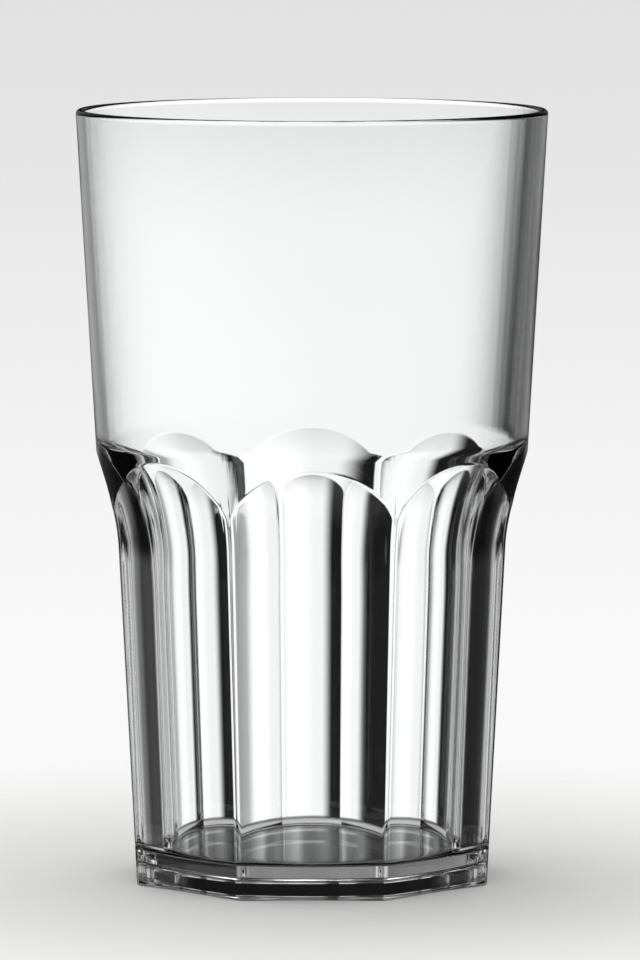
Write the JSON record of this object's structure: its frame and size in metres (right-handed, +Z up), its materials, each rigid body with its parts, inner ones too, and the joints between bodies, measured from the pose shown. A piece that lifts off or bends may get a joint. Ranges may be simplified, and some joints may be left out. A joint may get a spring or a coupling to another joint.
{
  "type": "tumbler",
  "caption": "Clear plastic stacking tumbler with a thin plain upper wall and a thick lower part cut by upright flats with arched tops, for cold drinks.",
  "frame": {"origin": "centre of the foot, on the surface that the tumbler stands on", "axes": "+Z up along the axis to the rim; the middle of one flat faces -Y, so +X and +Y also pass through the middle of a flat"},
  "size_m": [0.085, 0.085, 0.139],
  "materials": {
    "clear_plastic": "polished, water clear"
  },
  "bodies": {
    "root": {"tumbler": "clear_plastic"}
  },
  "joints": []
}
